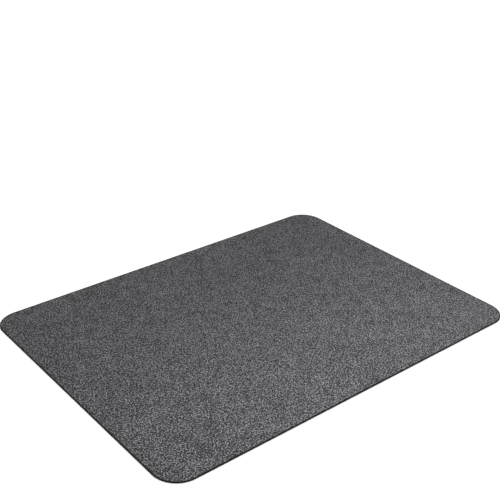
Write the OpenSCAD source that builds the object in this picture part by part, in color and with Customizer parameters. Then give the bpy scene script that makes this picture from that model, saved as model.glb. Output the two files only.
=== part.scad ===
// Low-pile chair mat: a felt face bonded to a non-slip backing, its cut edge sealed all round.
// The mat lies flat with its underside on z = 0, its long side along X and its centre at the origin.

/* [Mat] */
// Length of the mat, along X
mat_length = 1194; // [600:1:2000]
// Width of the mat, along Y
mat_width = 889; // [500:1:1500]
// Radius of the four corners in plan
corner_radius = 70; // [20:1:200]

/* [Layers] */
// Thickness of the backing sheet, over its moulded grip dots
backing_thickness = 1.0; // [0.8:0.1:4]
// Thickness of the hot-melt film that bonds the felt to the backing
film_thickness = 0.2; // [0.1:0.05:0.6]
// Thickness of the needle-punched felt
felt_thickness = 2.0; // [2:0.1:6]

/* [Edge seal] */
// Width of the bead that seals the cut edge of the felt, seen from above
seal_width = 2.2; // [1.2:0.1:4]
// Radius that rounds the bead's outer top edge
seal_rounding = 0.9; // [0.4:0.1:1.1]
// How far the top of the bead lies below the top of the felt
seal_drop = 0.1; // [0:0.1:0.9]

/* [Hidden] */
$fn = 96;

film_base = backing_thickness;
felt_base = film_base + film_thickness;
mat_height = felt_base + felt_thickness;
seal_height = mat_height - seal_drop - backing_thickness;

// Distance from the middle of the mat to the centre of each corner's arc
arc_x = mat_length / 2 - corner_radius;
arc_y = mat_width / 2 - corner_radius;

backing_colour = [0.09, 0.09, 0.1];
film_colour = [0.75, 0.74, 0.7];
felt_colour = [0.35, 0.35, 0.36];
seal_colour = [0.07, 0.07, 0.08];

// Plan of the mat, drawn in from the outline by the same distance on every side.
module mat_plan(inset) {
    corner = corner_radius - inset;
    square([mat_length - 2 * inset, 2 * arc_y], center = true);
    square([2 * arc_x, mat_width - 2 * inset], center = true);
    for (x = [-arc_x, arc_x])
        for (y = [-arc_y, arc_y])
            translate([x, y])
                circle(r = corner);
}

// Section of the sealing bead: x runs from its inner face, at 0, to the outline of the mat.
module seal_section() {
    square([seal_width - seal_rounding, seal_height]);
    square([seal_width, seal_height - seal_rounding]);
    translate([seal_width - seal_rounding, seal_height - seal_rounding])
        circle(r = seal_rounding);
}

// A straight stretch of the bead, centred along Y, with its outer side towards +X.
module seal_side(run) {
    rotate([90, 0, 0])
        linear_extrude(height = run, center = true)
            seal_section();
}

// The bead round one corner, turned about the centre of the corner's arc.
module seal_corner() {
    rotate_extrude(angle = 90)
        translate([corner_radius - seal_width, 0])
            seal_section();
}

// Moulded non-slip sheet, which carries everything else and reaches the outline.
module backing_sheet() {
    color(backing_colour)
        linear_extrude(height = backing_thickness)
            mat_plan(0);
}

// Thin film of hot-melt adhesive between the backing and the felt.
module bond_film() {
    color(film_colour)
        translate([0, 0, film_base])
            linear_extrude(height = film_thickness)
                mat_plan(seal_width);
}

// Needle-punched felt that the casters roll on.
module felt_face() {
    color(felt_colour)
        translate([0, 0, felt_base])
            linear_extrude(height = felt_thickness)
                mat_plan(seal_width);
}

// Bead of black sealant that stands on the backing's margin and holds in the felt's cut edge.
module edge_seal() {
    color(seal_colour)
        translate([0, 0, film_base])
            for (turn = [0, 1]) {
                mirror([turn, 0, 0])
                    translate([mat_length / 2 - seal_width, 0, 0])
                        seal_side(2 * arc_y);
                rotate(turn * 180 + 90)
                    translate([mat_width / 2 - seal_width, 0, 0])
                        seal_side(2 * arc_x);
                rotate(turn * 180)
                    translate([arc_x, arc_y, 0])
                        seal_corner();
                mirror([turn, 1 - turn, 0])
                    translate([arc_x, arc_y, 0])
                        seal_corner();
            }
}

backing_sheet();
bond_film();
felt_face();
edge_seal();
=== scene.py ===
# %% [markdown]
# # A felt chair mat, layer by layer
#
# The object is a low-pile mat that lies under a desk chair. It is a laminate: needle-punched felt on
# top, a thin adhesive film, and a black elastomer sheet underneath, with a bead of black sealant round
# the cut edge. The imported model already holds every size. This lesson takes those sizes and gives each
# layer the surface it has on the real mat.

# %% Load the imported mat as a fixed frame
import math

import bmesh
import bpy
import numpy as np
from mathutils import Euler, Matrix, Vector


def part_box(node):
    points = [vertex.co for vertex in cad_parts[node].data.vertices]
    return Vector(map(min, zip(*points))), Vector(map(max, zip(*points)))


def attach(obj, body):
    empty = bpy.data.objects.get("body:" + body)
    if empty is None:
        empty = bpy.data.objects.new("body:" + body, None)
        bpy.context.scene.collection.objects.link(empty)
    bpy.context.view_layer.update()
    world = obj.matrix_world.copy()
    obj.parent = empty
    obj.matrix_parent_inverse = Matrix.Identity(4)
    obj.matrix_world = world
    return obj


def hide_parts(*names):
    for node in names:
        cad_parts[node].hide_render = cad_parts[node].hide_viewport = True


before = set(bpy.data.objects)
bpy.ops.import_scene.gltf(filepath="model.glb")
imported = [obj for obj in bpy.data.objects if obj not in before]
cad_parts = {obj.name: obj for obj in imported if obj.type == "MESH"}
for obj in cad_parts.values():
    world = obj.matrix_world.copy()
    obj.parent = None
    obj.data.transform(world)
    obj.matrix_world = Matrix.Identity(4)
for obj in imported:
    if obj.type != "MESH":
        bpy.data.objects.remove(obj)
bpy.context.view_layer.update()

# %% [markdown]
# ## Sizes
#
# Everything that follows is placed from the frame: the box of each layer, and the radius of the
# corners. The radius isn't stored anywhere, so it is measured on the backing sheet. Its front side is
# straight between the two corners, so the side's end shows where the corner's arc begins.

# %% Read the layers' sizes off the frame
MM = 0.001
TOUCHING = 0.01 * MM

backing_low, backing_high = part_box("backing_sheet")
felt_low, felt_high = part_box("felt_face")
seal_low, seal_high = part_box("edge_seal")


def corner_radius_of(node):
    """Radius of a layer's corners: its half length, less the half length of its front side."""
    low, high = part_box(node)
    places = [v.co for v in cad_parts[node].data.vertices]
    on_front = [place.x for place in places if abs(place.y - low.y) < TOUCHING]
    return high.x - max(on_front)


half_x = backing_high.x
half_y = backing_high.y
corner = corner_radius_of("backing_sheet")
seal_width = half_x - felt_high.x
print(f"half sizes {half_x:.4f} x {half_y:.4f} m, corner {corner:.4f} m, seal {seal_width:.4f} m")

# %% [markdown]
# ## Camera
#
# The mat is seen from a standing person's height, over its near left corner, through a fairly long
# lens. Azimuth and elevation are easier to read than a rotation, so the camera is aimed with them and
# then rolled by less than a degree.

# %% Place the camera
CAMERA_PLACE = (-1.4452, -1.7439, 1.4002)
CAMERA_AZIMUTH = math.radians(39.299)
CAMERA_ELEVATION = math.radians(-27.054)
CAMERA_ROLL = math.radians(0.7705)
CAMERA_LENS = 66.68
SENSOR_WIDTH = 36.0
FARTHEST_SEEN = 50.0

scene = bpy.context.scene
camera = bpy.data.objects.new("camera", bpy.data.cameras.new("camera"))
scene.collection.objects.link(camera)
camera.location = CAMERA_PLACE
camera.data.lens = CAMERA_LENS
camera.data.sensor_width = SENSOR_WIDTH
camera.data.clip_end = FARTHEST_SEEN
look = Vector((
    math.sin(CAMERA_AZIMUTH) * math.cos(CAMERA_ELEVATION),
    math.cos(CAMERA_AZIMUTH) * math.cos(CAMERA_ELEVATION),
    math.sin(CAMERA_ELEVATION),
))
aim = look.to_track_quat("-Z", "Y").to_matrix() @ Euler((0, 0, CAMERA_ROLL)).to_matrix()
camera.rotation_euler = aim.to_euler()
scene.camera = camera
print("camera looks along", [round(v, 4) for v in look])

# %% [markdown]
# ## Helpers for nodes
#
# Materials and geometry both come from node trees, and building one takes two moves over and over: add
# a node, and give its inputs a value or a link. One helper does both, and the next ones are short names
# for the nodes that turn up most.

# %% Helpers that add nodes
def add_node(tree, kind, inputs=None, **properties):
    """A new node. An input, named or numbered, takes a plain value or a link from another socket."""
    node = tree.nodes.new(kind)
    for name, value in properties.items():
        setattr(node, name, value)
    for place, value in (inputs or {}).items():
        if isinstance(value, bpy.types.NodeSocket):
            tree.links.new(value, node.inputs[place])
        else:
            node.inputs[place].default_value = value
    return node


def calculate(tree, operation, *values, clamp=False):
    """The output of a Math node."""
    inputs = dict(enumerate(values))
    return add_node(tree, "ShaderNodeMath", inputs, operation=operation, use_clamp=clamp).outputs[0]


def total_of(tree, *values):
    """The sum of two or more values, from a row of Math nodes."""
    total = values[0]
    for value in values[1:]:
        total = calculate(tree, "ADD", total, value)
    return total


def vector_maths(tree, operation, *values, **named):
    """The vector that comes out of a Vector Math node."""
    inputs = {**dict(enumerate(values)), **named}
    return add_node(tree, "ShaderNodeVectorMath", inputs, operation=operation).outputs["Vector"]


print("node helpers:", ", ".join(f.__name__ for f in (add_node, calculate, total_of, vector_maths)))

# %% [markdown]
# ## Helpers for fields
#
# A field is a value that changes from place to place. Felt and rubber have no drawing on them, only
# grain, so their fields are noise. A height map or an image could do the same, but noise needs no file
# and can be made at any size. Where a field has to look alike on a flat sheet whatever its height, the
# noise is flat: it reads only X and Y. Flat noise is built on a square lattice, so it is turned a
# little, or its rows would line up with the mat's sides.

# %% Helpers that make and shape fields
NOISE_TURN = 0.5


def turned(tree, place):
    """A place turned about Z, for flat noise."""
    inputs = {"Vector": place, "Angle": NOISE_TURN}
    return add_node(tree, "ShaderNodeVectorRotate", inputs, rotation_type="Z_AXIS").outputs[0]


def noise(tree, place, size, detail=2.0, roughness=0.5, fray=0.0, flat=False):
    """A Noise Texture with lumps about size metres wide, whose outlines may be frayed."""
    scale = 1.0 / size if isinstance(size, float) else calculate(tree, "DIVIDE", 1.0, size)
    inputs = {"Vector": place, "Scale": scale, "Detail": detail, "Roughness": roughness, "Distortion": fray}
    return add_node(tree, "ShaderNodeTexNoise", inputs, noise_dimensions="2D" if flat else "3D")


def remap(tree, value, start, end, low, high, smooth=False):
    """Turns a value's run from start to end into a run from low to high, and stops at both ends."""
    inputs = {"Value": value, "From Min": start, "From Max": end, "To Min": low, "To Max": high}
    kind = "SMOOTHSTEP" if smooth else "LINEAR"
    return add_node(tree, "ShaderNodeMapRange", inputs, interpolation_type=kind).outputs[0]


def centred(tree, value, gain):
    """A field that runs from 0 to 1, moved so that its middle is 0, and scaled."""
    return calculate(tree, "MULTIPLY", calculate(tree, "SUBTRACT", value, 0.5), gain)


def centred_vector(tree, value, gain):
    """The same for a field of three values, such as a noise's colour."""
    away = vector_maths(tree, "SUBTRACT", value, (0.5, 0.5, 0.5))
    return vector_maths(tree, "SCALE", away, Scale=gain)


print(f"flat noise is turned by {math.degrees(NOISE_TURN):.0f} degrees")

# %% [markdown]
# ## Helpers for groups and colours
#
# A node group is an effect that several materials share, or a shape with sizes of its own, and it needs
# named sockets. Colours on this mat are nearly neutral, so each is one level and a little blue.

# %% Helpers that add sockets and colours
def add_socket(tree, name, kind, value=None, output=False):
    """A named socket on a node group, with a default value where it has one."""
    side = "OUTPUT" if output else "INPUT"
    socket = tree.interface.new_socket(name, in_out=side, socket_type="NodeSocket" + kind)
    if value is not None:
        socket.default_value = value
    return socket


def neutral(level, blue=1.0):
    """A grey of some level, with its blue part raised a little."""
    return (level, level, level * blue, 1)


def mixed_colour(tree, factor, first, second):
    """The colour that lies between two others."""
    first_socket, second_socket, result_socket = 6, 7, 2
    inputs = {"Factor": factor, first_socket: first, second_socket: second}
    return add_node(tree, "ShaderNodeMix", inputs, data_type="RGBA").outputs[result_socket]


print("a blue-grey of level 0.2:", neutral(0.2, 1.05))

# %% [markdown]
# ## Fibre tangle, a shared effect
#
# Felt is a tangle of long fibres that run in every direction. A noise field gives such threads cheaply:
# the line where a smooth field passes its middle value is a long, winding curve. The group stretches
# the field along three directions in turn and keeps the thin band round each middle line. It puts out
# a mask that is 1 on a thread and 0 between threads. Threads could be meshes as well, but a square metre
# of felt holds millions of them, so only the few that worked loose are modelled, further on.

# %% Build the fibre tangle group
THREAD_DIRECTIONS = (0.0, math.radians(60), math.radians(120))
THREAD_STRETCH = (4, 1, 1)
SWAY_EVERY = 9 * MM
SWAY = 5 * MM


def threads_along(tree, place, direction, spacing, width):
    """A mask of threads that run mostly in one direction."""
    apart = (direction, 3 * direction, direction)
    inputs = {"Vector": place, "Location": apart, "Rotation": (0, 0, direction), "Scale": THREAD_STRETCH}
    laid = add_node(tree, "ShaderNodeMapping", inputs, vector_type="TEXTURE").outputs[0]
    field = noise(tree, laid, spacing, detail=1.0).outputs["Fac"]
    distance = calculate(tree, "ABSOLUTE", calculate(tree, "SUBTRACT", field, 0.5))
    return remap(tree, distance, 0.0, width, 1.0, 0.0, smooth=True)


def build_fibre_tangle():
    tree = bpy.data.node_groups.new("fibre tangle", "ShaderNodeTree")
    add_socket(tree, "Place", "Vector")
    add_socket(tree, "Thread Spacing", "Float", 3 * MM)
    add_socket(tree, "Thread Width", "Float", 0.06)
    add_socket(tree, "Offset", "Float", 0.0)
    add_socket(tree, "Threads", "Float", output=True)
    inlet = tree.nodes.new("NodeGroupInput").outputs
    wobble = noise(tree, inlet["Place"], SWAY_EVERY, detail=1.0).outputs["Color"]
    swayed = vector_maths(tree, "ADD", inlet["Place"], centred_vector(tree, wobble, SWAY))
    moved = vector_maths(tree, "ADD", swayed, inlet["Offset"])
    threads = 0.0
    for direction in THREAD_DIRECTIONS:
        band = threads_along(tree, moved, direction, inlet["Thread Spacing"], inlet["Thread Width"])
        threads = calculate(tree, "MAXIMUM", threads, band)
    add_node(tree, "NodeGroupOutput", {"Threads": threads})
    return tree


fibre_tangle = build_fibre_tangle()
print("fibre tangle:", len(fibre_tangle.nodes), "nodes")

# %% [markdown]
# ## Settled dust, a shared effect
#
# Every black part of a mat picks up grey dust and lint. The group mixes a base colour with dust in
# soft patches and fine specks, and also says how much dust there is, so that a material can be duller
# where it is dusty. Each material could mix its own dust, but one group keeps all dust alike.

# %% Build the dust group
DUST_PATCH = 60 * MM
DUST_SPECK = 2 * MM
SPECK_STARTS = 0.55
SPECK_FULL = 0.75


def build_dust():
    tree = bpy.data.node_groups.new("settled dust", "ShaderNodeTree")
    add_socket(tree, "Place", "Vector")
    add_socket(tree, "Clean Colour", "Color", neutral(0.01))
    add_socket(tree, "Dust Colour", "Color", (0.12, 0.115, 0.11, 1))
    add_socket(tree, "Amount", "Float", 0.2)
    add_socket(tree, "Colour", "Color", output=True)
    add_socket(tree, "Dust", "Float", output=True)
    inlet = tree.nodes.new("NodeGroupInput").outputs
    patches = noise(tree, inlet["Place"], DUST_PATCH, detail=4.0).outputs["Fac"]
    lint = noise(tree, inlet["Place"], DUST_SPECK, detail=2.0, roughness=0.7).outputs["Fac"]
    specks = remap(tree, lint, SPECK_STARTS, SPECK_FULL, 0.0, 1.0)
    dust = calculate(tree, "MULTIPLY", total_of(tree, patches, specks), inlet["Amount"], clamp=True)
    colour = mixed_colour(tree, dust, inlet["Clean Colour"], inlet["Dust Colour"])
    add_node(tree, "NodeGroupOutput", {"Colour": colour, "Dust": dust})
    return tree


settled_dust = build_dust()
print("settled dust:", len(settled_dust.nodes), "nodes")

# %% [markdown]
# ## The felt's shade
#
# The felt is spun from dark, mid and pale grey fibres mixed before they were laid. From a step away
# they clump into salt-and-pepper specks a few millimetres wide; wider tufts and clouds of them are a
# little paler or darker, and across the whole mat the mix drifts. Each of these is one field of flat
# noise, and they add up to one shade. A single noise with many octaves would be simpler, but the
# specks have to stand out far more than the clouds, and separate fields can be weighed one by one.

# %% Add up the felt's shade
CLUMP = 3.9 * MM
CLUMP_DETAIL = 1.5
CLUMP_ROUGHNESS = 0.6
CLUMP_FRAY = 0.2
CLUMP_GAIN = 4.8
TUFT = 10 * MM
TUFT_GAIN = 0.9
CLOUD = 34 * MM
CLOUD_GAIN = 0.6
DRIFT = 160 * MM
DRIFT_GAIN = 0.2
THREAD_GAIN = 0.25


def clump_field(tree, web, size):
    """The field of fibre clumps, which both the felt's shade and its nap read."""
    node = noise(tree, web, size, CLUMP_DETAIL, CLUMP_ROUGHNESS, CLUMP_FRAY, flat=True)
    return node.outputs["Fac"]


def felt_shade(tree, web, clumps, pale, dark):
    """How pale the felt is at each place: its middle is 0.5, and it may pass 0 and 1."""
    tufts = noise(tree, web, TUFT, detail=1.0, flat=True).outputs["Fac"]
    clouds = noise(tree, web, CLOUD, flat=True).outputs["Fac"]
    drift = noise(tree, web, DRIFT, flat=True).outputs["Fac"]
    return total_of(
        tree,
        0.5,
        centred(tree, clumps, CLUMP_GAIN),
        centred(tree, tufts, TUFT_GAIN),
        centred(tree, clouds, CLOUD_GAIN),
        centred(tree, drift, DRIFT_GAIN),
        calculate(tree, "MULTIPLY", pale, THREAD_GAIN),
        calculate(tree, "MULTIPLY", dark, -THREAD_GAIN),
    )


print(f"fibre clumps are {CLUMP / MM:.1f} mm wide, tufts {TUFT / MM:.0f} mm, clouds {CLOUD / MM:.0f} mm")

# %% [markdown]
# ## The felt's colours
#
# A colour ramp turns the shade into fibre colours, most of them dark, which is why the felt looks
# charcoal. Single threads lie over the clumps: a pale thread shows up even on a dark clump, and a dark
# one cuts across a pale clump. Next to the seal the felt is painted darker over its first millimetres:
# painted shade that deepens the dark line along the mat's cut edge.

# %% Turn the shade into fibre colours
FIBRE_SHADES = (
    (0.00, 0.001),
    (0.25, 0.003),
    (0.50, 0.009),
    (0.75, 0.045),
    (1.00, 0.181),
)
FELT_BLUE = 1.065
PALE_THREAD = neutral(0.16, 1.04)
PALE_THREAD_SHOWS = 0.16
DARK_THREAD = neutral(0.004)
DARK_THREAD_SHOWS = 0.5
# Painted shade: the felt is drawn darker over its first millimetres next to the seal, to deepen the edge's
# dark line.
PAINTED_EDGE_SHADE = neutral(0.003)
PAINTED_EDGE_SHADE_SHOWS = 0.85
PAINTED_EDGE_SHADE_FULL_TO = 0.8 * MM
PAINTED_EDGE_SHADE_UNTIL = 2 * MM


def fibre_ramp(tree, shade):
    """The colour of the fibres at a shade."""
    ramp = add_node(tree, "ShaderNodeValToRGB", {"Fac": shade})
    stops = ramp.color_ramp.elements
    while len(stops) < len(FIBRE_SHADES):
        stops.new(0.5)
    for stop, (at, level) in zip(stops, FIBRE_SHADES):
        stop.position = at
        stop.color = neutral(level, FELT_BLUE)
    return ramp.outputs["Color"]


def felt_colour(tree, shade, pale, dark):
    """Fibre colours, then single threads across them, then painted shade along the rim by the seal."""
    pale_part = calculate(tree, "MULTIPLY", pale, PALE_THREAD_SHOWS)
    dark_part = calculate(tree, "MULTIPLY", dark, DARK_THREAD_SHOWS)
    colour = mixed_colour(tree, pale_part, fibre_ramp(tree, shade), PALE_THREAD)
    colour = mixed_colour(tree, dark_part, colour, DARK_THREAD)
    margin = add_node(tree, "ShaderNodeAttribute", attribute_name="margin").outputs["Fac"]
    # Painted shade along the cut edge, strongest at the rim and gone two millimetres in.
    painted_edge_shade = remap(tree, margin, PAINTED_EDGE_SHADE_FULL_TO, PAINTED_EDGE_SHADE_UNTIL, PAINTED_EDGE_SHADE_SHOWS, 0.0, smooth=True)
    return mixed_colour(tree, painted_edge_shade, colour, PAINTED_EDGE_SHADE)


print("fibre colours run from", FIBRE_SHADES[0][1], "to", FIBRE_SHADES[-1][1])

# %% [markdown]
# ## The felt's finish
#
# Felt scatters light in every direction, so its shader is very rough, with hardly any mirror-like part
# and a trace of sheen from fibre ends that stand up. The bump repeats the clumps and threads that the
# colour shows, so a pale clump also catches the light as a raised one.

# %% Make the felt's material
FELT_SPECULAR = 0.08
FELT_SHEEN = 0.04
FELT_SHEEN_ROUGHNESS = 0.6
PALE_THREADS = {"Thread Spacing": 1.5 * MM, "Thread Width": 0.045}
DARK_THREADS = {"Thread Spacing": 1.8 * MM, "Thread Width": 0.05, "Offset": 1.7}
FELT_ROUGHNESS = 1.0
PALE_THREAD_ROUGHNESS = 0.82
CLUMP_RELIEF = 0.7
THREAD_RELIEF = 0.3
FELT_BUMP = {"Strength": 0.6, "Distance": 0.6 * MM}


def new_material(name):
    """A material, its tree, and the inputs of its Principled shader."""
    material = bpy.data.materials.new(name)
    material.use_nodes = True
    tree = material.node_tree
    return material, tree, tree.nodes["Principled BSDF"].inputs


def place_on_surface(tree):
    """The place that patterns read, in the mat's own frame."""
    return tree.nodes.new("ShaderNodeTexCoord").outputs["Object"]


def threads_of(tree, place, sizes):
    """One use of the fibre tangle, with its own sizes."""
    inputs = {"Place": place, **sizes}
    return add_node(tree, "ShaderNodeGroup", inputs, node_tree=fibre_tangle).outputs["Threads"]


def add_bump(tree, shader, height, values):
    """Tilts the surface's normals by a field of heights."""
    bump = add_node(tree, "ShaderNodeBump", {"Height": height, **values})
    tree.links.new(bump.outputs[0], shader["Normal"])


def make_felt():
    material, tree, shader = new_material("heathered felt")
    place = place_on_surface(tree)
    web = turned(tree, place)
    clumps = clump_field(tree, web, CLUMP)
    pale = threads_of(tree, place, PALE_THREADS)
    dark = threads_of(tree, place, DARK_THREADS)
    shade = felt_shade(tree, web, clumps, pale, dark)
    tree.links.new(felt_colour(tree, shade, pale, dark), shader["Base Color"])
    rough = remap(tree, pale, 0.0, 1.0, FELT_ROUGHNESS, PALE_THREAD_ROUGHNESS)
    tree.links.new(rough, shader["Roughness"])
    clump_height = calculate(tree, "MULTIPLY", clumps, CLUMP_RELIEF)
    thread_height = calculate(tree, "MULTIPLY", pale, THREAD_RELIEF)
    add_bump(tree, shader, total_of(tree, clump_height, thread_height), FELT_BUMP)
    shader["Specular IOR Level"].default_value = FELT_SPECULAR
    shader["Sheen Weight"].default_value = FELT_SHEEN
    shader["Sheen Roughness"].default_value = FELT_SHEEN_ROUGHNESS
    return material


felt_finish = make_felt()
print("felt finish:", len(felt_finish.node_tree.nodes), "nodes")

# %% [markdown]
# ## Loose fibre colours
#
# A loose fibre is polyester dyed all the way through, pale, grey or nearly black. It is duller and
# rougher where it was rubbed, and brighter where it wasn't. Each fibre could have one plain colour, as
# it is very thin, but from close by that looks like wire. So one recipe with three levels lets a small
# noise field make the fibre duller and brighter along its length.

# %% Make the loose fibres' materials
FIBRE_BLUE = 1.04
RUBBED_EVERY = 3 * MM
RUBBED_FULLY = 0.35
UNRUBBED_FROM = 0.65
DULL_SHARE = 0.75
BRIGHT_SHARE = 1.25
RUBBED_ROUGHNESS = 0.85
UNRUBBED_ROUGHNESS = 0.7
FIBRE_SPECULAR = 0.3


def make_fibre(name, level):
    material, tree, shader = new_material(name)
    place = place_on_surface(tree)
    patches = noise(tree, place, RUBBED_EVERY).outputs["Fac"]
    bright_part = remap(tree, patches, RUBBED_FULLY, UNRUBBED_FROM, 0.0, 1.0)
    dull = neutral(level * DULL_SHARE, FIBRE_BLUE)
    bright = neutral(level * BRIGHT_SHARE, FIBRE_BLUE)
    tree.links.new(mixed_colour(tree, bright_part, dull, bright), shader["Base Color"])
    rough = remap(tree, bright_part, 0.0, 1.0, RUBBED_ROUGHNESS, UNRUBBED_ROUGHNESS)
    tree.links.new(rough, shader["Roughness"])
    shader["Specular IOR Level"].default_value = FIBRE_SPECULAR
    return material


pale_fibre = make_fibre("pale polyester fibre", 0.34)
grey_fibre = make_fibre("grey polyester fibre", 0.10)
dark_fibre = make_fibre("dark polyester fibre", 0.012)
print("fibre finishes:", pale_fibre.name, grey_fibre.name, dark_fibre.name, sep=", ")

# %% [markdown]
# ## Black elastomer and sealant
#
# The backing is moulded against a textured drum, which leaves a fine pebbled skin. The sealant is the
# same black but smoother, because it flowed before it set. Both are one recipe with different numbers:
# a base colour under dust, a skin as bump, and a surface that is duller where it is dusty.

# %% Make the backing's and the seal's materials
RUBBER_BLUE = 1.08
RUBBER_SPECULAR = 0.08
RUBBER_BUMP_STRENGTH = 0.5


def make_elastomer(name, level, dust, skin_size, skin_depth, roughness):
    material, tree, shader = new_material(name)
    place = place_on_surface(tree)
    inputs = {"Place": place, "Clean Colour": neutral(level, RUBBER_BLUE), "Amount": dust}
    dusty = add_node(tree, "ShaderNodeGroup", inputs, node_tree=settled_dust).outputs
    tree.links.new(dusty["Colour"], shader["Base Color"])
    tree.links.new(remap(tree, dusty["Dust"], 0.0, 1.0, roughness, 1.0), shader["Roughness"])
    skin = noise(tree, place, skin_size, detail=3.0, roughness=0.6).outputs["Fac"]
    add_bump(tree, shader, skin, {"Strength": RUBBER_BUMP_STRENGTH, "Distance": skin_depth})
    shader["Specular IOR Level"].default_value = RUBBER_SPECULAR
    return material


backing_finish = make_elastomer(
    "black elastomer skin", level=0.005, dust=0.06, skin_size=0.8 * MM, skin_depth=0.1 * MM, roughness=0.75
)
seal_finish = make_elastomer(
    "black edge sealant", level=0.002, dust=0.005, skin_size=6 * MM, skin_depth=0.2 * MM, roughness=0.6
)
print("rubber finishes:", backing_finish.name, "and", seal_finish.name)

# %% [markdown]
# ## Hot-melt film
#
# The film is milky adhesive that squeezed into the felt as a web of small strings. The strings are the
# fibre tangle once more, wider apart than the felt's threads.

# %% Make the film's material
FILM_BODY = (0.50, 0.48, 0.42, 1)
FILM_STRING = (0.72, 0.71, 0.66, 1)
FILM_STRINGS = {"Thread Spacing": 4 * MM, "Thread Width": 0.09, "Offset": 0.6}
FILM_BODY_ROUGHNESS = 0.35
FILM_STRING_ROUGHNESS = 0.6
FILM_BUMP = {"Strength": 0.4, "Distance": 0.1 * MM}


def make_film():
    material, tree, shader = new_material("hot-melt film")
    strings = threads_of(tree, place_on_surface(tree), FILM_STRINGS)
    tree.links.new(mixed_colour(tree, strings, FILM_BODY, FILM_STRING), shader["Base Color"])
    rough = remap(tree, strings, 0.0, 1.0, FILM_BODY_ROUGHNESS, FILM_STRING_ROUGHNESS)
    tree.links.new(rough, shader["Roughness"])
    add_bump(tree, shader, strings, FILM_BUMP)
    return material


film_finish = make_film()
print("film finish:", film_finish.name)

# %% [markdown]
# ## Rounded rectangles as rows of points
#
# Every layer has the same outline, drawn in by some inset, so one function lays out its points. The
# rows run along X. Inside the corners' depth each row stops on the arc, so the grid's own border is
# the rounded outline, and outlines with different insets match point for point. Rings of such points
# then make side walls without any cutting.

# %% Lay out a rounded rectangle
def plan_grid(inset, columns, straight_rows, arc_rows):
    """Points of a rounded rectangle, drawn in from the mat's outline, as rows by columns by (x, y)."""
    radius = corner - inset
    angle = np.linspace(math.pi / 2, 0, arc_rows + 1)
    arc_y = half_y - corner + radius * np.sin(angle)
    arc_half = half_x - corner + radius * np.cos(angle)
    straight_y = np.linspace(-(half_y - corner), half_y - corner, straight_rows + 1)[1:-1]
    straight_half = np.full(straight_y.shape, half_x - inset)
    y = np.concatenate([-arc_y, straight_y, arc_y[::-1]])
    half_width = np.concatenate([arc_half, straight_half, arc_half[::-1]])
    across = np.linspace(-1, 1, columns + 1)
    return np.stack([half_width[:, None] * across, np.repeat(y[:, None], columns + 1, 1)], axis=2)


def border_of(grid):
    """A grid's border as one loop, counter-clockwise seen from above."""
    front, right, back, left = grid[0, :-1], grid[:-1, -1], grid[-1, :0:-1], grid[:0:-1, 0]
    return np.concatenate([front, right, back, left])


print("a small rounded rectangle has a border of", len(border_of(plan_grid(0.0, 4, 2, 3))), "points")

# %% [markdown]
# ## From points to an object
#
# A new piece is a mesh made straight from points and faces, with its place in its points. That keeps
# its object at the origin, where a pattern in object coordinates reads the same place on every layer.

# %% Make a mesh object from points
def new_piece(name, points, faces, material, smooth=True):
    """A mesh object at the origin, with its place in its points."""
    mesh = bpy.data.meshes.new(name)
    mesh.from_pydata([tuple(p) for p in points], [], faces)
    mesh.polygons.foreach_set("use_smooth", [smooth] * len(mesh.polygons))
    mesh.materials.append(material)
    mesh.update()
    piece = bpy.data.objects.new(name, mesh)
    scene.collection.objects.link(piece)
    return piece


def ring_faces(upper, lower):
    """Quads between two loops of point numbers that match one to one and run the same way."""
    following = zip(upper, lower, lower[1:] + lower[:1], upper[1:] + upper[:1])
    return [tuple(quad) for quad in following]


print("four matching pairs of points take", len(ring_faces([0, 1, 2, 3], [4, 5, 6, 7])), "quads")

# %% [markdown]
# ## Felt, first as a slab
#
# The felt is one sheet of cloth, so it is one closed mesh. Cloth is often simulated, but this sheet is
# glued down flat, so there is no drape to find. Its top needs a dense, even grid for the nap, and its
# sides and underside need almost nothing. Three rings roll the top edge over into the cut edge, where
# the nap is pinched by the seal, and one flat face closes the underside. Each point of the top also
# stores its margin, its distance from the cut edge, for what changes near the edge.

# %% Build the felt slab
FELT_STEP = 3.7 * MM
EDGE_ROLL = 0.7 * MM
ROLL_MIDDLE = 0.3 * EDGE_ROLL

felt_columns = round(2 * half_x / FELT_STEP)
felt_rows = round(2 * (half_y - corner) / FELT_STEP)
felt_arc_rows = round(corner * math.pi / 2 / FELT_STEP)


def margin_of(places):
    """How far each (x, y) is from the felt's cut edge. It is right up to a corner's radius inwards."""
    beyond = np.maximum(np.abs(places) - (half_x - corner, half_y - corner), 0)
    return corner - seal_width - np.hypot(beyond[:, 0], beyond[:, 1])


def build_felt():
    counts = (felt_columns, felt_rows, felt_arc_rows)
    top = plan_grid(seal_width + EDGE_ROLL, *counts)
    rows, columns = top.shape[:2]
    numbers = np.arange(rows * columns).reshape(rows, columns)
    quads = np.stack([numbers[:-1, :-1], numbers[:-1, 1:], numbers[1:, 1:], numbers[1:, :-1]], axis=2)
    faces = [tuple(q) for q in quads.reshape(-1, 4).tolist()]
    places = top.reshape(-1, 2)
    points = [np.column_stack([places, np.full(len(places), felt_high.z)])]
    upper = border_of(numbers[:, :, None])[:, 0].tolist()
    rolls = (
        (ROLL_MIDDLE, felt_high.z - ROLL_MIDDLE),
        (0, felt_high.z - EDGE_ROLL),
        (0, felt_low.z),
    )
    for inset, height in rolls:
        loop = border_of(plan_grid(seal_width + inset, *counts))
        first = sum(len(p) for p in points)
        points.append(np.column_stack([loop, np.full(len(loop), height)]))
        lower = list(range(first, first + len(loop)))
        faces += ring_faces(upper, lower)
        upper = lower
    faces.append(tuple(reversed(upper)))
    felt = new_piece("felt_slab", np.concatenate(points), faces, felt_finish)
    margin = np.zeros(len(felt.data.vertices), np.float32)
    margin[: len(places)] = margin_of(places)
    felt.data.attributes.new("margin", "FLOAT", "POINT").data.foreach_set("value", margin)
    return felt


felt_slab = build_felt()
print("felt slab:", len(felt_slab.data.polygons), "faces")

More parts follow.
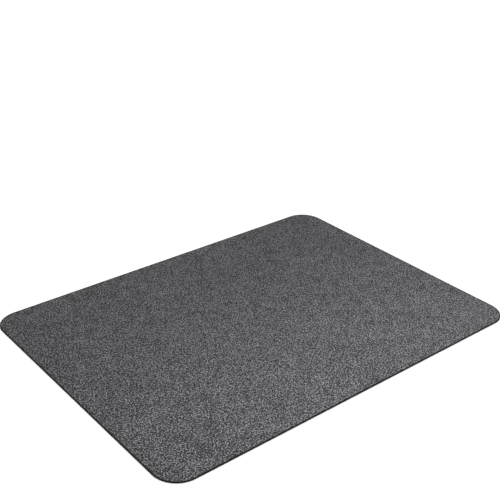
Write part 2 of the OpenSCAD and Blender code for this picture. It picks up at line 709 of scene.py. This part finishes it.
# %% [markdown]
# ## Geometry Nodes, the shared part
#
# Every tree in this lesson starts and ends alike: named inputs for its sizes, then at the end its
# instances made real and its finish set. It runs on a plain mesh, and its result is turned into another
# plain mesh straight away, so that no modifier is left for later steps to trip over.

# %% Helpers that start, end and run a tree
def start_tree(name, sizes, others):
    """A Geometry Nodes tree with an input for each size, and its inputs as sockets to link from."""
    tree = bpy.data.node_groups.new(name, "GeometryNodeTree")
    add_socket(tree, "Geometry", "Geometry")
    add_socket(tree, "Geometry", "Geometry", output=True)
    for label, value in sizes.items():
        add_socket(tree, label, "Float", value)
    for label, kind in others.items():
        add_socket(tree, label, kind)
    add_socket(tree, "Finish", "Material")
    return tree, tree.nodes.new("NodeGroupInput").outputs


def end_tree(tree, geometry, finish):
    """Makes a tree's instances real, gives them their finish, and puts them out."""
    solid = add_node(tree, "GeometryNodeRealizeInstances", {"Geometry": geometry}).outputs[0]
    inputs = {"Geometry": solid, "Material": finish}
    finished = add_node(tree, "GeometryNodeSetMaterial", inputs).outputs[0]
    add_node(tree, "NodeGroupOutput", {"Geometry": finished})
    return tree


def run_tree(tree, source, name, values):
    """Runs a tree on a mesh and returns the result as a plain mesh object."""
    carrier = bpy.data.objects.new(name, source)
    scene.collection.objects.link(carrier)
    modifier = carrier.modifiers.new(name, "NODES")
    modifier.node_group = tree
    for item in tree.interface.items_tree:
        if item.in_out == "INPUT" and item.name in values:
            modifier[item.identifier] = values[item.name]
    evaluated = carrier.evaluated_get(bpy.context.evaluated_depsgraph_get())
    mesh = bpy.data.meshes.new_from_object(evaluated)
    bpy.data.objects.remove(carrier)
    mesh.name = name
    piece = bpy.data.objects.new(name, mesh)
    scene.collection.objects.link(piece)
    print(f"{name}: {sum(len(p.vertices) - 2 for p in mesh.polygons)} triangles")
    return piece


def place_field(tree):
    """Where each point is."""
    return tree.nodes.new("GeometryNodeInputPosition").outputs[0]


def margin_field(tree):
    """How far each point is from the felt's cut edge."""
    stored = add_node(tree, "GeometryNodeInputNamedAttribute", {"Name": "margin"}, data_type="FLOAT")
    return stored.outputs[0]


def random_field(tree, seed, low=0.0, high=1.0):
    """A random number for each point."""
    low_socket, high_socket, result_socket = 2, 3, 1
    inputs = {low_socket: low, high_socket: high, "Seed": seed}
    return add_node(tree, "FunctionNodeRandomValue", inputs, data_type="FLOAT").outputs[result_socket]


def upwards(tree, height):
    """A move straight up."""
    return add_node(tree, "ShaderNodeCombineXYZ", {"Z": height}).outputs[0]


print("tree helpers:", start_tree.__name__, end_tree.__name__, run_tree.__name__)

# %% [markdown]
# ## Felt, then with its nap
#
# The nap's height follows a rule, so Geometry Nodes raise it: clumps of fibre about as wide as a grid
# step, longer swells where the web was laid thicker, and a random lift of each point for the loose top
# fibres. The clumps are the same field that the felt's shade uses, so a pale clump is also a raised
# one. The nap lies down over its last few millimetres, because the seal pinches it.

# %% Raise the nap with Geometry Nodes
NAP_SIZES = {
    "Clump Size": CLUMP,
    "Clump Height": 0.3 * MM,
    "Swell Size": 70 * MM,
    "Swell Height": 0.2 * MM,
    "Loose Height": 0.1 * MM,
    "Full Nap From Edge": 4 * MM,
}
NAP_SEED = 4


def build_nap_tree():
    tree, inlet = start_tree("raise the nap", NAP_SIZES, {"Seed": "Int"})
    web = turned(tree, place_field(tree))
    clumps = clump_field(tree, web, inlet["Clump Size"])
    swells = noise(tree, web, inlet["Swell Size"], detail=1.0, flat=True).outputs["Fac"]
    loose = random_field(tree, inlet["Seed"])
    lift = total_of(
        tree,
        centred(tree, clumps, inlet["Clump Height"]),
        centred(tree, swells, inlet["Swell Height"]),
        centred(tree, loose, inlet["Loose Height"]),
    )
    standing = calculate(tree, "DIVIDE", margin_field(tree), inlet["Full Nap From Edge"], clamp=True)
    offset = upwards(tree, calculate(tree, "MULTIPLY", lift, standing))
    inputs = {"Geometry": inlet["Geometry"], "Offset": offset}
    raised = add_node(tree, "GeometryNodeSetPosition", inputs).outputs[0]
    return end_tree(tree, raised, inlet["Finish"])


nap_values = {"Seed": NAP_SEED, "Finish": felt_finish}
felt_face = run_tree(build_nap_tree(), felt_slab.data, "felt_nap", nap_values)
bpy.data.objects.remove(felt_slab)

# %% [markdown]
# ## Loose fibres, first as lines
#
# Needle-punched felt always sheds a little: fibres whose ends worked free lie over the face. Each starts
# as a short straight line of points, dropped at a random place, turned at random and cut to a random
# length. They keep clear of the felt's rim, so that none hangs over the seal. Drawing them by hand or
# with hair tools would work too, but hair has to be turned into a mesh in the end.

# %% Drop the fibres' lines on the felt
FIBRE_SIZES = {
    "Per Square Metre": 4000.0,
    "Length": 9 * MM,
    "Thickness": 0.14 * MM,
    "Curl": 4 * MM,
    "Arch": 0.35 * MM,
    "Clear Rim": 9 * MM,
}
FIBRE_POINTS = 6
SHORTEST = 0.5
LONGEST = 1.6
LENGTH_SEED_STEP = 7


def dropped_lines(tree, inlet):
    """Straight lines of points, scattered over the felt."""
    inputs = {
        "Mesh": inlet["Geometry"],
        "Selection": calculate(tree, "GREATER_THAN", margin_field(tree), inlet["Clear Rim"]),
        "Density": inlet["Per Square Metre"],
        "Seed": inlet["Seed"],
    }
    places = add_node(tree, "GeometryNodeDistributePointsOnFaces", inputs).outputs["Points"]
    line = add_node(tree, "GeometryNodeCurvePrimitiveLine", {"Start": (-0.5, 0, 0), "End": (0.5, 0, 0)})
    inputs = {"Curve": line.outputs[0], "Count": FIBRE_POINTS}
    even = add_node(tree, "GeometryNodeResampleCurve", inputs).outputs[0]
    spin = upwards(tree, random_field(tree, inlet["Seed"], 0.0, math.tau))
    length_seed = calculate(tree, "ADD", inlet["Seed"], LENGTH_SEED_STEP)
    share = random_field(tree, length_seed, SHORTEST, LONGEST)
    size = calculate(tree, "MULTIPLY", share, inlet["Length"])
    inputs = {"Points": places, "Instance": even, "Rotation": spin, "Scale": size}
    laid = add_node(tree, "GeometryNodeInstanceOnPoints", inputs).outputs[0]
    return add_node(tree, "GeometryNodeRealizeInstances", {"Geometry": laid}).outputs[0]


print(f"fibres are {SHORTEST} to {LONGEST} times {FIBRE_SIZES['Length'] / MM:.0f} mm long")

# %% [markdown]
# ## Loose fibres, bent and given a body
#
# A noise field pushes each line's points sideways, so it curls, and a sine raises its middle by a
# fraction of a millimetre, so it arches off the felt. A three-sided section swept along it is enough
# for something this thin. Three colours are three runs of one tree with different seeds.

# %% Bend the lines and sweep them
CURL_EVERY = 5 * MM
FIBRE_SIDES = 3


def bent_lines(tree, inlet, lines):
    """The same lines, curled sideways and arched."""
    sideways = noise(tree, place_field(tree), CURL_EVERY, detail=1.0).outputs["Color"]
    level = vector_maths(tree, "MULTIPLY", centred_vector(tree, sideways, 1.0), (1, 1, 0))
    curl = vector_maths(tree, "SCALE", level, Scale=inlet["Curl"])
    along = tree.nodes.new("GeometryNodeSplineParameter").outputs["Factor"]
    hump = calculate(tree, "SINE", calculate(tree, "MULTIPLY", along, math.pi))
    rise = upwards(tree, calculate(tree, "MULTIPLY", hump, inlet["Arch"]))
    inputs = {"Geometry": lines, "Offset": vector_maths(tree, "ADD", curl, rise)}
    return add_node(tree, "GeometryNodeSetPosition", inputs).outputs[0]


def build_fibre_tree():
    tree, inlet = start_tree("scatter loose fibres", FIBRE_SIZES, {"Seed": "Int"})
    bent = bent_lines(tree, inlet, dropped_lines(tree, inlet))
    radius = calculate(tree, "MULTIPLY", inlet["Thickness"], 0.5)
    inputs = {"Resolution": FIBRE_SIDES, "Radius": radius}
    section = add_node(tree, "GeometryNodeCurvePrimitiveCircle", inputs).outputs[0]
    inputs = {"Curve": bent, "Profile Curve": section, "Fill Caps": True}
    swept = add_node(tree, "GeometryNodeCurveToMesh", inputs).outputs[0]
    return end_tree(tree, swept, inlet["Finish"])


fibre_tree = build_fibre_tree()
fibre_pieces = []
for name, finish, seed in (
    ("loose_fibres_pale", pale_fibre, 11),
    ("loose_fibres_grey", grey_fibre, 23),
    ("loose_fibres_dark", dark_fibre, 37),
):
    fibre_pieces.append(run_tree(fibre_tree, felt_face.data, name, {"Seed": seed, "Finish": finish}))

# %% [markdown]
# ## Backing sheet
#
# The backing is a moulded sheet that stands on round dots. The sheet is the same rounded rectangle with
# a slight bevel where the knife left it. A Bevel modifier would do that, but four rings of points and
# two flat faces are the whole sheet, with nothing left to apply.

# %% Build the backing sheet
DOT_HEIGHT = 0.4 * MM
KNIFE_BEVEL = 0.15 * MM
BACKING_COUNTS = (24, 16, 24)


def build_backing():
    low = backing_low.z + DOT_HEIGHT
    high = backing_high.z
    levels = (
        (KNIFE_BEVEL, low),
        (0, low + KNIFE_BEVEL),
        (0, high - KNIFE_BEVEL),
        (KNIFE_BEVEL, high),
    )
    points = []
    loops = []
    for inset, height in levels:
        outline = border_of(plan_grid(inset, *BACKING_COUNTS))
        points.append(np.column_stack([outline, np.full(len(outline), height)]))
        first = len(outline) * len(loops)
        loops.append(list(range(first, first + len(outline))))
    faces = [tuple(reversed(loops[0]))]
    for lower, upper in zip(loops, loops[1:]):
        faces += ring_faces(upper, lower)
    faces.append(tuple(loops[-1]))
    return new_piece("backing_skin", np.concatenate(points), faces, backing_finish, smooth=False)


backing = build_backing()
print("backing skin:", len(backing.data.polygons), "faces")

# %% [markdown]
# ## Grip dots, first as places
#
# The dots stand in staggered rows, like bricks. Two Array modifiers could repeat a dot, but not shift
# every second row. Geometry Nodes lay out a plain grid of points, as many as fit, and shift every second
# row by half a step. A point's row is its number's remainder when it is divided by the number of rows,
# because a grid numbers its points column by column.

# %% Lay out staggered places
DOT_SIZES = {
    "Half Length": 0.5,
    "Half Width": 0.4,
    "Corner Radius": 0.07,
    "Margin": 7 * MM,
    "Pitch": 16 * MM,
    "Dot Radius": 3 * MM,
    "Dot Depth": 0.6 * MM,
}
ROW_STEP_IN_PITCHES = math.sqrt(3) / 2


def steps_that_fit(tree, half_size, step):
    """How many steps fit in twice a size."""
    whole = calculate(tree, "MULTIPLY", half_size, 2.0)
    return calculate(tree, "FLOOR", calculate(tree, "DIVIDE", whole, step))


def staggered_places(tree, inlet):
    """Points in rows, with every second row shifted by half a step."""
    row_step = calculate(tree, "MULTIPLY", inlet["Pitch"], ROW_STEP_IN_PITCHES)
    columns = steps_that_fit(tree, inlet["Half Length"], inlet["Pitch"])
    rows = steps_that_fit(tree, inlet["Half Width"], row_step)
    inputs = {
        "Size X": calculate(tree, "MULTIPLY", calculate(tree, "SUBTRACT", columns, 1), inlet["Pitch"]),
        "Size Y": calculate(tree, "MULTIPLY", calculate(tree, "SUBTRACT", rows, 1), row_step),
        "Vertices X": columns,
        "Vertices Y": rows,
    }
    lattice = add_node(tree, "GeometryNodeMeshGrid", inputs).outputs["Mesh"]
    number = tree.nodes.new("GeometryNodeInputIndex").outputs[0]
    odd = calculate(tree, "MODULO", calculate(tree, "MODULO", number, rows), 2.0)
    half_pitch = calculate(tree, "MULTIPLY", inlet["Pitch"], 0.5)
    shift = add_node(tree, "ShaderNodeCombineXYZ", {"X": centred(tree, odd, half_pitch)}).outputs[0]
    inputs = {"Geometry": lattice, "Offset": shift}
    return add_node(tree, "GeometryNodeSetPosition", inputs).outputs[0]


print(f"dots stand {DOT_SIZES['Pitch'] / MM:.0f} mm apart, rows {ROW_STEP_IN_PITCHES:.3f} of that")

# %% [markdown]
# ## Grip dots, kept inside the outline
#
# A place is kept if it is inside the rounded outline by a margin. How far a place lies beyond the
# straight part of each side makes a vector, and in a rounded rectangle the length of that vector is
# less than the corner's radius. A flat-topped dot with a few dozen faces goes on each place kept.

# %% Keep the places inside and put a dot on each
DOT_SIDES = 10
DOT_FOOT_SHARE = 0.72


def places_inside(tree, inlet, places):
    """The places that lie inside the rounded outline by the margin."""
    flat = vector_maths(tree, "MULTIPLY", vector_maths(tree, "ABSOLUTE", place_field(tree)), (1, 1, 0))
    inputs = {
        "X": calculate(tree, "SUBTRACT", inlet["Half Length"], inlet["Corner Radius"]),
        "Y": calculate(tree, "SUBTRACT", inlet["Half Width"], inlet["Corner Radius"]),
    }
    core = add_node(tree, "ShaderNodeCombineXYZ", inputs).outputs[0]
    beyond = vector_maths(tree, "MAXIMUM", vector_maths(tree, "SUBTRACT", flat, core), (0, 0, 0))
    reach = add_node(tree, "ShaderNodeVectorMath", {0: beyond}, operation="LENGTH").outputs["Value"]
    limit = calculate(tree, "SUBTRACT", inlet["Corner Radius"], inlet["Margin"])
    inputs = {"Geometry": places, "Selection": calculate(tree, "GREATER_THAN", reach, limit)}
    return add_node(tree, "GeometryNodeDeleteGeometry", inputs, domain="POINT").outputs[0]


def build_dot_tree():
    tree, inlet = start_tree("grip dots", DOT_SIZES, {})
    inputs = {
        "Vertices": DOT_SIDES,
        "Radius Top": inlet["Dot Radius"],
        "Radius Bottom": calculate(tree, "MULTIPLY", inlet["Dot Radius"], DOT_FOOT_SHARE),
        "Depth": inlet["Dot Depth"],
    }
    dot = add_node(tree, "GeometryNodeMeshCone", inputs, fill_type="NGON").outputs["Mesh"]
    kept = places_inside(tree, inlet, staggered_places(tree, inlet))
    placed = add_node(tree, "GeometryNodeInstanceOnPoints", {"Points": kept, "Instance": dot}).outputs[0]
    return end_tree(tree, placed, inlet["Finish"])


nothing = bpy.data.meshes.new("nothing")
outline = {"Half Length": half_x, "Half Width": half_y, "Corner Radius": corner}
grip_dots = run_tree(build_dot_tree(), nothing, "grip_dots", {**outline, "Finish": backing_finish})

# %% [markdown]
# ## Edge seal, first its section
#
# The seal is a bead that follows the outline, so it is a section swept along a path. A curve with a
# round bevel would be less work, but a round bead would not fill the step between felt and backing. The
# section is drawn once as a curve: square where it meets the two, and rounded off at its outer top
# corner, as sealant is that was wiped with a shaped tool. Which way round its points run decides whether
# the bead's faces point outwards, so the next step measures its volume, which has to be positive.

# %% Draw the bead's section
SEAL_ROUNDING = 0.9 * MM
ROUNDING_POINTS = 6


def seal_section():
    """The bead's section as a closed curve. On the path, its x runs outwards and its y runs down."""
    height = seal_high.z - seal_low.z
    points = [(0, 0), (-seal_width, 0), (-seal_width, -height)]
    for angle in np.linspace(math.pi / 2, 0, ROUNDING_POINTS):
        across = SEAL_ROUNDING * (math.cos(angle) - 1)
        down = SEAL_ROUNDING * (1 - math.sin(angle)) - height
        points.append((across, down))
    curve = bpy.data.curves.new("seal section", "CURVE")
    spline = curve.splines.new("POLY")
    spline.points.add(len(points) - 1)
    for point, (x, y) in zip(spline.points, points):
        point.co = (x, y, 0, 1)
    spline.use_cyclic_u = True
    section = bpy.data.objects.new("seal section", curve)
    scene.collection.objects.link(section)
    return section


section = seal_section()
print("the bead's section has", len(section.data.splines[0].points), "points")

# %% [markdown]
# ## Edge seal, then the bead
#
# The path is the rounded outline, cut into short steps. After the sweep, a slow noise field moves every
# point above the bead's foot by a few hundredths of a millimetre, because a bead run by a nozzle is
# never quite even. The foot stays where it is, flat on the backing.

# %% Sweep the edge seal with Geometry Nodes
SEAL_SIZES = {
    "Length": 1.2,
    "Width": 0.9,
    "Corner Radius": 0.07,
    "Base Height": 0.0,
    "Step": 6 * MM,
    "Ripple Size": 45 * MM,
    "Ripple": 0.12 * MM,
}
CORNER_POINTS = 24
FOOT_HEIGHT = 0.1 * MM


def outline_path(tree, inlet):
    """The rounded outline as a curve in short steps, at the height of the bead's foot."""
    inputs = {"Width": inlet["Length"], "Height": inlet["Width"]}
    box = add_node(tree, "GeometryNodeCurvePrimitiveQuadrilateral", inputs).outputs[0]
    inputs = {"Curve": box, "Count": CORNER_POINTS, "Radius": inlet["Corner Radius"]}
    rounded = add_node(tree, "GeometryNodeFilletCurve", inputs, mode="POLY").outputs[0]
    inputs = {"Curve": rounded, "Length": inlet["Step"]}
    stepped = add_node(tree, "GeometryNodeResampleCurve", inputs, mode="LENGTH").outputs[0]
    inputs = {"Geometry": stepped, "Offset": upwards(tree, inlet["Base Height"])}
    lifted = add_node(tree, "GeometryNodeSetPosition", inputs).outputs[0]
    return add_node(tree, "GeometryNodeSetCurveNormal", {"Curve": lifted}, mode="Z_UP").outputs[0]


def rippled(tree, inlet, bead):
    """The bead with everything above its foot moved a little by a slow noise field."""
    place = place_field(tree)
    field = noise(tree, place, inlet["Ripple Size"]).outputs["Color"]
    height = add_node(tree, "ShaderNodeSeparateXYZ", {0: place}).outputs["Z"]
    foot = calculate(tree, "ADD", inlet["Base Height"], FOOT_HEIGHT)
    inputs = {
        "Geometry": bead,
        "Selection": calculate(tree, "GREATER_THAN", height, foot),
        "Offset": centred_vector(tree, field, inlet["Ripple"]),
    }
    return add_node(tree, "GeometryNodeSetPosition", inputs).outputs[0]


def build_seal_tree():
    tree, inlet = start_tree("sweep the edge seal", SEAL_SIZES, {"Section": "Object"})
    profile = add_node(tree, "GeometryNodeObjectInfo", {"Object": inlet["Section"]}).outputs["Geometry"]
    inputs = {"Curve": outline_path(tree, inlet), "Profile Curve": profile}
    swept = add_node(tree, "GeometryNodeCurveToMesh", inputs).outputs[0]
    return end_tree(tree, rippled(tree, inlet, swept), inlet["Finish"])


outline = {"Length": 2 * half_x, "Width": 2 * half_y, "Corner Radius": corner, "Base Height": seal_low.z}
bead_values = {**outline, "Section": section, "Finish": seal_finish}
edge_seal = run_tree(build_seal_tree(), nothing, "edge_bead", bead_values)
bpy.data.objects.remove(section)


def volume_of(mesh):
    """A closed mesh's volume, which is negative if its faces point inwards."""
    solid = bmesh.new()
    solid.from_mesh(mesh)
    volume = solid.calc_volume(signed=True)
    solid.free()
    return volume


print(f"bead volume: {volume_of(edge_seal.data) / MM**3:.0f} cubic millimetres")

# %% [markdown]
# ## Bond film
#
# The film is a flat sheet between two others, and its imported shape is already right. A new mesh would
# add nothing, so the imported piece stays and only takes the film's material.

# %% Finish the bond film
film_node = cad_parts["bond_film"]
film_node.data.materials.clear()
film_node.data.materials.append(film_finish)
print("bond film:", film_node.data.materials[0].name)

# %% [markdown]
# ## Floor
#
# A pale floor runs out of sight in every direction. It lies a tenth of a millimetre below the mat, so
# that the grip dots and the floor never share a plane, which would flicker.

# %% Lay the floor
FLOOR_REACH = 15.0
FLOOR_DROP = 0.1 * MM
FLOOR_LEVEL = 0.9
FLOOR_ROUGHNESS = 0.9
FLOOR_SPECULAR = 0.1


def lay_floor():
    material, _, shader = new_material("pale studio floor")
    shader["Base Color"].default_value = neutral(FLOOR_LEVEL)
    shader["Roughness"].default_value = FLOOR_ROUGHNESS
    shader["Specular IOR Level"].default_value = FLOOR_SPECULAR
    signs = ((-1, -1), (1, -1), (1, 1), (-1, 1))
    points = [(x * FLOOR_REACH, y * FLOOR_REACH, -FLOOR_DROP) for x, y in signs]
    floor = new_piece("studio_floor", points, [(0, 1, 2, 3)], material, smooth=False)
    return floor


floor = lay_floor()
print(f"floor: {2 * FLOOR_REACH:.0f} m square")

# %% [markdown]
# ## Light
#
# An even white sky stands for the studio's diffusing walls, and is strong enough to wash the floor out
# to white. One strip softbox hangs low over the mat, a little towards its near side, which makes that
# side lighter than the far one. Its light is flagged off the floor: light linking lets it fall only on
# the mat, as a black card on a stand would do in a real studio.

# %% Hang the lights
SKY_STRENGTH = 1.3
SOFTBOX_LENGTH = 1.4
SOFTBOX_WIDTH = 0.3
SOFTBOX_POWER = 6.0
SOFTBOX_PLACE = (0.08, -0.40, 0.5)


def light_sky():
    world = bpy.data.worlds.new("studio")
    world.use_nodes = True
    sky = world.node_tree.nodes["Background"].inputs
    sky["Color"].default_value = neutral(1.0)
    sky["Strength"].default_value = SKY_STRENGTH
    scene.world = world


def hang_softbox(lit):
    """A strip of light over the mat that falls only on the objects listed."""
    light = bpy.data.lights.new("strip softbox", "AREA")
    light.shape = "RECTANGLE"
    light.size = SOFTBOX_LENGTH
    light.size_y = SOFTBOX_WIDTH
    light.energy = SOFTBOX_POWER
    lamp = bpy.data.objects.new("strip softbox", light)
    lamp.location = SOFTBOX_PLACE
    lamp.visible_camera = False
    scene.collection.objects.link(lamp)
    group = bpy.data.collections.new("lit by the softbox")
    for thing in lit:
        group.objects.link(thing)
    lamp.light_linking.receiver_collection = group
    return lamp


light_sky()
softbox = hang_softbox([felt_face, backing, grip_dots, edge_seal, film_node, *fibre_pieces])
scene.view_settings.view_transform = "Standard"

# %% [markdown]
# ## Tie every piece to the frame
#
# Nothing on this mat moves, so every new piece rides on the one body. The imported layers that the
# new felt, backing and seal stand in for are hidden.

stand_ins = (
    (felt_face, "felt_face", "felt"),
    (backing, "backing_sheet", "backing"),
    (grip_dots, "backing_sheet", "backing"),
    (edge_seal, "edge_seal", "seal"),
)
for piece, node, finish in stand_ins:
    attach(piece, "root")
    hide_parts(node)
for piece in fibre_pieces:
    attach(piece, "root")
print("declared", len(stand_ins) + len(fibre_pieces), "new pieces and the film")
